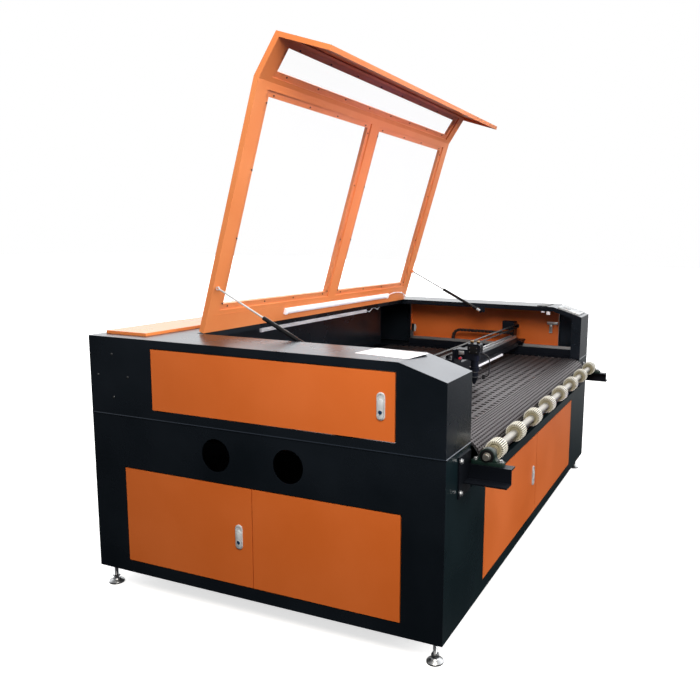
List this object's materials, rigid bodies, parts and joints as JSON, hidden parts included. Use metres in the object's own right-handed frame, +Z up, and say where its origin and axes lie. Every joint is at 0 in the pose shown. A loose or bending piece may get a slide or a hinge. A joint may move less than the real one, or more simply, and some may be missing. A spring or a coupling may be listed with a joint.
{
  "type": "gantry laser cutting machine",
  "caption": "Floor-standing gantry laser cutter with a mesh conveyor bed, toothed feed roller, hinged windowed lid on gas struts and side, front and rear doors.",
  "frame": {"origin": "on the floor under the middle of the machine's bounding box", "axes": "+X along the bed's width to the operator's right, +Y from the operator's side to the rear, +Z up"},
  "size_m": [2.58, 1.752, 2.2771],
  "materials": {
    "black_paint": "satin powder coat",
    "orange_paint": "satin powder coat",
    "zinc_steel": "bright zinc",
    "belt_steel": "oiled steel mesh",
    "cream_nylon": "moulded",
    "green_casting": "painted casting",
    "black_plastic": "moulded",
    "grey_panel": "satin",
    "lamp_white": "translucent",
    "clear_acrylic": "clear sheet",
    "tube_glass": "clear glass"
  },
  "bodies": {
    "root": {"floor_pan": "black_paint", "inner_frame": "black_paint", "lower_left_panel": "black_paint", "lower_right_panel": "black_paint", "lower_front_panel": "black_paint", "lower_rear_panel": "black_paint", "upper_left_wall": "black_paint", "upper_right_wall": "black_paint", "rear_housing": "black_paint", "levelling_feet": "zinc_steel", "bed_frame": "zinc_steel", "conveyor_belt": "belt_steel", "roller_brackets": "black_paint", "pillow_blocks": "green_casting", "rail_beams": "black_paint", "y_rails": "zinc_steel", "drag_chain": "black_plastic", "laser_tube": "tube_glass", "optics_mounts": "zinc_steel", "control_panel": "grey_panel", "rear_lamp": "lamp_white"},
    "rear_drum": {"rear_drum": "zinc_steel"},
    "feed_roller": {"feed_shaft": "zinc_steel", "feed_wheels": "cream_nylon"},
    "gantry": {"gantry_beam": "black_paint", "gantry_ends": "black_paint", "x_rails": "zinc_steel", "x_motor": "black_paint", "x_belt": "black_plastic", "gantry_lamp": "lamp_white"},
    "carriage": {"carriage": "black_paint", "head_block": "black_paint", "pointer_arm": "black_plastic"},
    "lens": {"lens_tube": "black_paint"},
    "lid": {"lid_frame": "orange_paint", "lid_windows": "clear_acrylic", "lid_lamp": "lamp_white"},
    "left_rod": {"strut_rod_left": "zinc_steel"},
    "left_cylinder": {"strut_cylinder_left": "black_plastic"},
    "right_rod": {"strut_rod_right": "zinc_steel"},
    "right_cylinder": {"strut_cylinder_right": "black_plastic"},
    "rear_cover": {"rear_cover": "orange_paint"},
    "left_upper_door": {"left_upper_door": "orange_paint", "left_upper_lock": "zinc_steel"},
    "right_upper_door": {"right_upper_door": "orange_paint", "right_upper_lock": "zinc_steel"},
    "left_lower_front_door": {"left_lower_front_door": "orange_paint"},
    "left_lower_rear_door": {"left_lower_rear_door": "orange_paint", "left_lower_lock": "zinc_steel"},
    "right_lower_front_door": {"right_lower_front_door": "orange_paint"},
    "right_lower_rear_door": {"right_lower_rear_door": "orange_paint", "right_lower_lock": "zinc_steel"},
    "front_left_door": {"front_left_door": "orange_paint", "front_lock": "zinc_steel"},
    "front_right_door": {"front_right_door": "orange_paint"},
    "left_upper_handle": {"left_upper_handle": "zinc_steel"},
    "left_lower_handle": {"left_lower_handle": "zinc_steel"},
    "right_upper_handle": {"right_upper_handle": "zinc_steel"},
    "right_lower_handle": {"right_lower_handle": "zinc_steel"},
    "front_handle": {"front_handle": "zinc_steel"}
  },
  "joints": [
    {"name": "lid_hinge", "type": "hinge", "parent": "root", "child": "lid", "pos_m": [0, 0.531, 1.096], "axis": [1, 0, 0], "range_deg": [0, 73.4]},
    {"name": "left_strut_pivot", "type": "hinge", "parent": "lid", "child": "left_rod", "pos_m": [-1.011, 0.43324, 1.2839], "axis": [1, 0, 0], "range_deg": [-97.86, 0.5]},
    {"name": "left_strut_stroke", "type": "slide", "parent": "left_rod", "child": "left_cylinder", "axis": [0, 0.896, 0.444], "range_m": [-0.001, 0.16802]},
    {"name": "right_strut_pivot", "type": "hinge", "parent": "lid", "child": "right_rod", "pos_m": [1.011, 0.43324, 1.2839], "axis": [1, 0, 0], "range_deg": [-97.86, 0.5]},
    {"name": "right_strut_stroke", "type": "slide", "parent": "right_rod", "child": "right_cylinder", "axis": [0, 0.896, 0.444], "range_m": [-0.001, 0.16802]},
    {"name": "gantry_slide", "type": "slide", "parent": "root", "child": "gantry", "axis": [0, 1, 0], "range_m": [-0.22, 0.6], "deforming": ["drag_chain"]},
    {"name": "head_slide", "type": "slide", "parent": "gantry", "child": "carriage", "axis": [1, 0, 0], "range_m": [-0.79, 0.95]},
    {"name": "focus_slide", "type": "slide", "parent": "carriage", "child": "lens", "axis": [0, 0, 1], "range_m": [-0.012, 0.024]},
    {"name": "feed_roll", "type": "hinge", "parent": "root", "child": "feed_roller", "pos_m": [0, -0.779, 0.727], "axis": [1, 0, 0], "continuous": true},
    {"name": "drum_spin", "type": "hinge", "parent": "root", "child": "rear_drum", "pos_m": [0, 0.579, 0.693], "axis": [1, 0, 0], "continuous": true},
    {"name": "left_upper_door_hinge", "type": "hinge", "parent": "root", "child": "left_upper_door", "pos_m": [-1.277, 0.545, 0.93], "axis": [0, 0, -1], "range_deg": [0, 110]},
    {"name": "right_upper_door_hinge", "type": "hinge", "parent": "root", "child": "right_upper_door", "pos_m": [1.277, 0.545, 0.93], "axis": [0, 0, 1], "range_deg": [0, 110]},
    {"name": "left_lower_front_door_hinge", "type": "hinge", "parent": "root", "child": "left_lower_front_door", "pos_m": [-1.277, -0.535, 0.345], "axis": [0, 0, 1], "range_deg": [0, 110]},
    {"name": "left_lower_rear_door_hinge", "type": "hinge", "parent": "root", "child": "left_lower_rear_door", "pos_m": [-1.277, 0.702, 0.345], "axis": [0, 0, -1], "range_deg": [0, 110]},
    {"name": "right_lower_front_door_hinge", "type": "hinge", "parent": "root", "child": "right_lower_front_door", "pos_m": [1.277, -0.535, 0.345], "axis": [0, 0, -1], "range_deg": [0, 110]},
    {"name": "right_lower_rear_door_hinge", "type": "hinge", "parent": "root", "child": "right_lower_rear_door", "pos_m": [1.277, 0.702, 0.345], "axis": [0, 0, 1], "range_deg": [0, 110]},
    {"name": "front_left_door_hinge", "type": "hinge", "parent": "root", "child": "front_left_door", "pos_m": [-0.83, -0.701, 0.345], "axis": [0, 0, -1], "range_deg": [0, 110]},
    {"name": "front_right_door_hinge", "type": "hinge", "parent": "root", "child": "front_right_door", "pos_m": [0.83, -0.701, 0.345], "axis": [0, 0, 1], "range_deg": [0, 110]},
    {"name": "left_upper_handle_lift", "type": "hinge", "parent": "left_upper_door", "child": "left_upper_handle", "pos_m": [-1.288, -0.464, 0.956], "axis": [0, 1, 0], "range_deg": [0, 50]},
    {"name": "left_lower_handle_lift", "type": "hinge", "parent": "left_lower_rear_door", "child": "left_lower_handle", "pos_m": [-1.288, 0.1455, 0.371], "axis": [0, 1, 0], "range_deg": [0, 50]},
    {"name": "right_upper_handle_lift", "type": "hinge", "parent": "right_upper_door", "child": "right_upper_handle", "pos_m": [1.288, -0.464, 0.956], "axis": [0, -1, 0], "range_deg": [0, 50]},
    {"name": "right_lower_handle_lift", "type": "hinge", "parent": "right_lower_rear_door", "child": "right_lower_handle", "pos_m": [1.288, 0.1455, 0.371], "axis": [0, -1, 0], "range_deg": [0, 50]},
    {"name": "front_handle_lift", "type": "hinge", "parent": "front_left_door", "child": "front_handle", "pos_m": [-0.062, -0.712, 0.371], "axis": [-1, 0, 0], "range_deg": [0, 50]},
    {"name": "rear_cover_hinge", "type": "hinge", "parent": "root", "child": "rear_cover", "pos_m": [0, 0.867, 1.096], "axis": [-1, 0, 0], "range_deg": [0, 95]}
  ],
  "couplings": [
    {"joint": "left_strut_pivot", "follows": "lid_hinge", "ratio": -1.3264},
    {"joint": "right_strut_pivot", "follows": "lid_hinge", "ratio": -1.3264},
    {"joint": "left_strut_stroke", "follows": "lid_hinge", "m_per_rad": 0.13038},
    {"joint": "right_strut_stroke", "follows": "lid_hinge", "m_per_rad": 0.13038},
    {"joint": "drum_spin", "follows": "feed_roll", "ratio": -0.4512}
  ]
}
